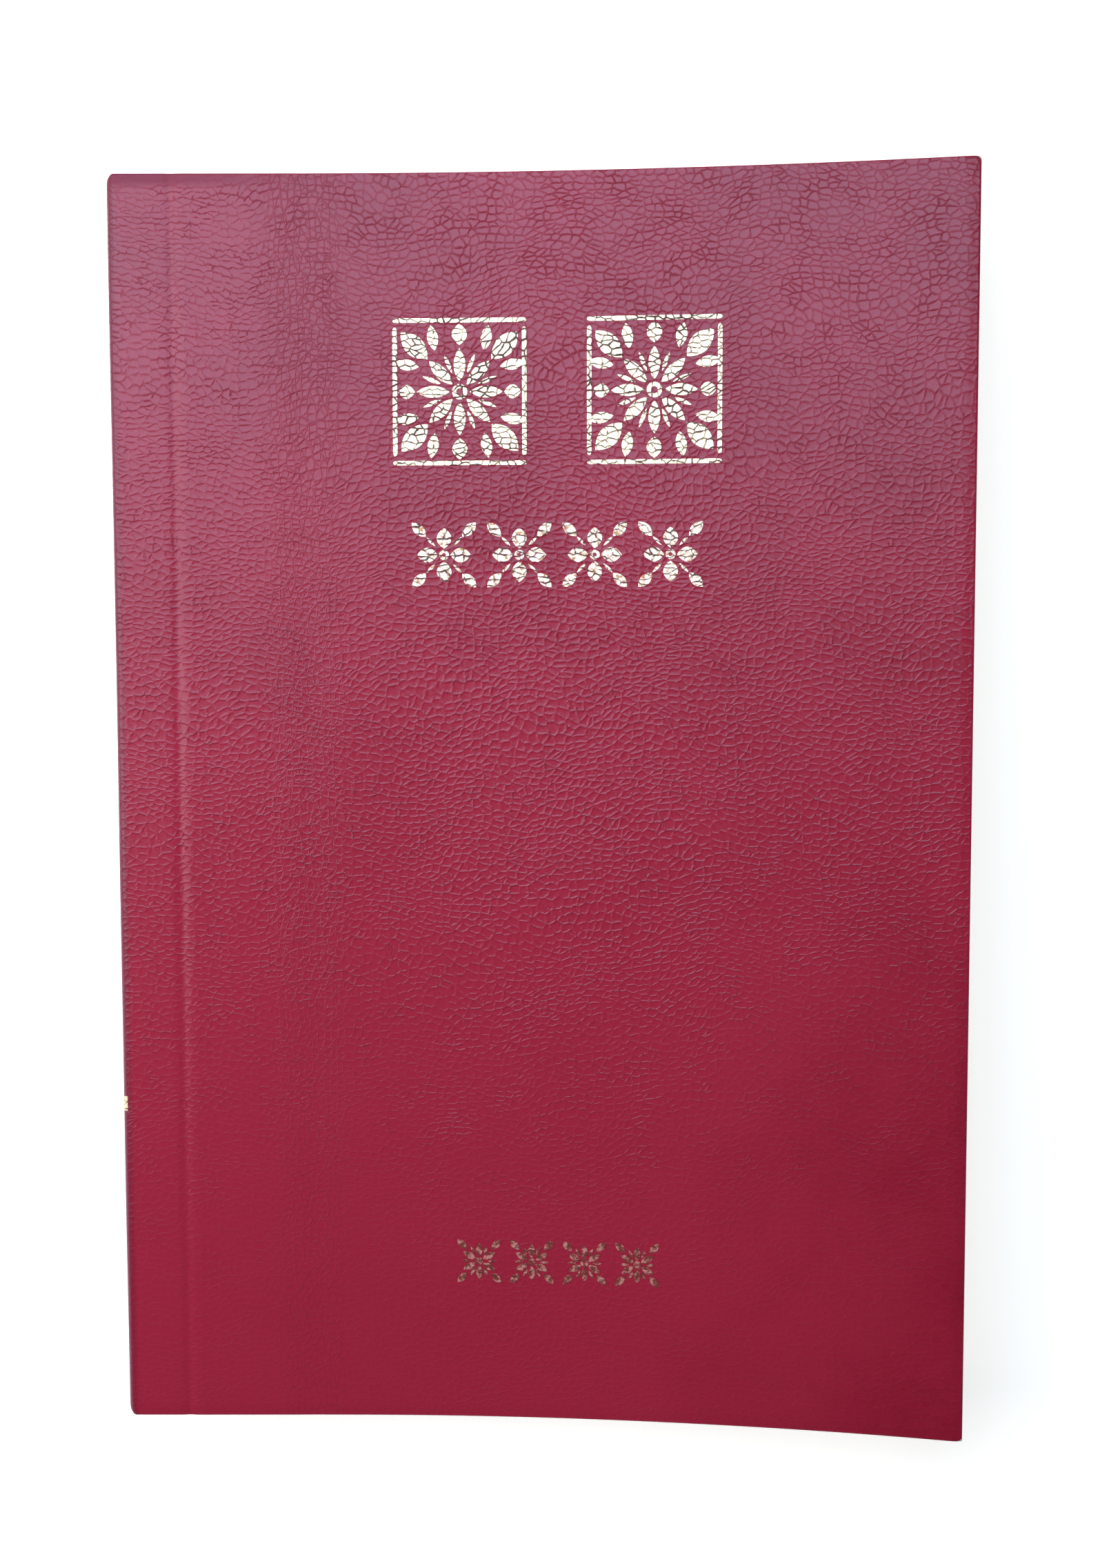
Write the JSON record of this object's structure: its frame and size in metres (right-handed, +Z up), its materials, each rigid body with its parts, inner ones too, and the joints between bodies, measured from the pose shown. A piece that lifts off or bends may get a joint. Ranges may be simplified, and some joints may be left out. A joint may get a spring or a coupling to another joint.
{
  "type": "prayer book",
  "caption": "Limp-bound pocket prayer book with a grained leatherette wrap cover that hinges at scored joints, foil ornaments and sewn sections that open at the middle.",
  "frame": {"origin": "middle of the book's footprint, on the surface it lies on", "axes": "+X from the spine to the fore-edge, +Y from tail to head, +Z up through the closed book from back cover to front cover"},
  "size_m": [0.1248, 0.184, 0.0248],
  "materials": {
    "cover_leatherette": "satin grained",
    "endpaper": "matte",
    "page_paper": "matte",
    "spine_glue": "matte",
    "thread": "matte",
    "gold_foil": "bright foil"
  },
  "bodies": {
    "back_cover": {"back_cover": "cover_leatherette", "back_pastedown": "endpaper"},
    "rear_block": {"back_joint_strip": "cover_leatherette", "back_endsheet_fold": "endpaper", "section_09": "page_paper", "section_10": "page_paper", "section_11": "page_paper", "section_12": "page_paper", "section_13": "page_paper", "section_14": "page_paper", "section_15": "page_paper", "section_08_rear": "page_paper", "spine_glue_rear": "spine_glue", "sewing_thread_rear": "thread", "spine_cover_rear": "cover_leatherette", "spine_foil_rear": "gold_foil"},
    "back_flyleaf": {"back_flyleaf": "endpaper"},
    "front_block": {"front_joint_strip": "cover_leatherette", "front_endsheet_fold": "endpaper", "section_01": "page_paper", "section_02": "page_paper", "section_03": "page_paper", "section_04": "page_paper", "section_05": "page_paper", "section_06": "page_paper", "section_07": "page_paper", "section_08_front": "page_paper", "spine_glue_front": "spine_glue", "sewing_thread_front": "thread", "spine_cover_front": "cover_leatherette", "spine_foil_front": "gold_foil"},
    "front_flyleaf": {"front_flyleaf": "endpaper"},
    "front_cover": {"front_cover": "cover_leatherette", "front_pastedown": "endpaper", "title_foil": "gold_foil", "subtitle_foil": "gold_foil", "imprint_foil": "gold_foil"},
    "leaf_1": {"section_08_leaf_1": "page_paper"},
    "leaf_2": {"section_08_leaf_2": "page_paper"},
    "leaf_3": {"section_08_leaf_3": "page_paper"},
    "leaf_4": {"section_08_leaf_4": "page_paper"}
  },
  "joints": [
    {"name": "back_cover_hinge", "type": "hinge", "parent": "back_cover", "child": "rear_block", "pos_m": [-0.05309, 0, -0.00005], "axis": [0, 1, 0], "range_deg": [-90, 0]},
    {"name": "back_flyleaf_turn", "type": "hinge", "parent": "rear_block", "child": "back_flyleaf", "pos_m": [-0.05309, 0, -0.00005], "axis": [0, 1, 0], "range_deg": [0, 27]},
    {"name": "block_opening", "type": "hinge", "parent": "rear_block", "child": "front_block", "pos_m": [-0.06241, 0, 0.0072], "axis": [0, -1, 0], "range_deg": [0, 120]},
    {"name": "front_cover_hinge", "type": "hinge", "parent": "front_block", "child": "front_cover", "pos_m": [-0.05309, 0, 0.01444], "axis": [0, 1, 0], "range_deg": [-150, 0]},
    {"name": "front_flyleaf_turn", "type": "hinge", "parent": "front_block", "child": "front_flyleaf", "pos_m": [-0.05309, 0, 0.01444], "axis": [0, 1, 0], "range_deg": [-30, 0]},
    {"name": "leaf_1_turn", "type": "hinge", "parent": "rear_block", "child": "leaf_1", "pos_m": [-0.06241, 0, 0.0072], "axis": [0, -1, 0], "range_deg": [0, 96]},
    {"name": "leaf_2_turn", "type": "hinge", "parent": "rear_block", "child": "leaf_2", "pos_m": [-0.06241, 0, 0.0072], "axis": [0, -1, 0], "range_deg": [0, 72]},
    {"name": "leaf_3_turn", "type": "hinge", "parent": "rear_block", "child": "leaf_3", "pos_m": [-0.06241, 0, 0.0072], "axis": [0, -1, 0], "range_deg": [0, 48]},
    {"name": "leaf_4_turn", "type": "hinge", "parent": "rear_block", "child": "leaf_4", "pos_m": [-0.06241, 0, 0.0072], "axis": [0, -1, 0], "range_deg": [0, 24]}
  ],
  "couplings": [
    {"joint": "back_flyleaf_turn", "follows": "back_cover_hinge", "ratio": -0.3},
    {"joint": "front_flyleaf_turn", "follows": "front_cover_hinge", "ratio": 0.2},
    {"joint": "leaf_1_turn", "follows": "block_opening", "ratio": 0.8},
    {"joint": "leaf_2_turn", "follows": "block_opening", "ratio": 0.6},
    {"joint": "leaf_3_turn", "follows": "block_opening", "ratio": 0.4},
    {"joint": "leaf_4_turn", "follows": "block_opening", "ratio": 0.2}
  ]
}
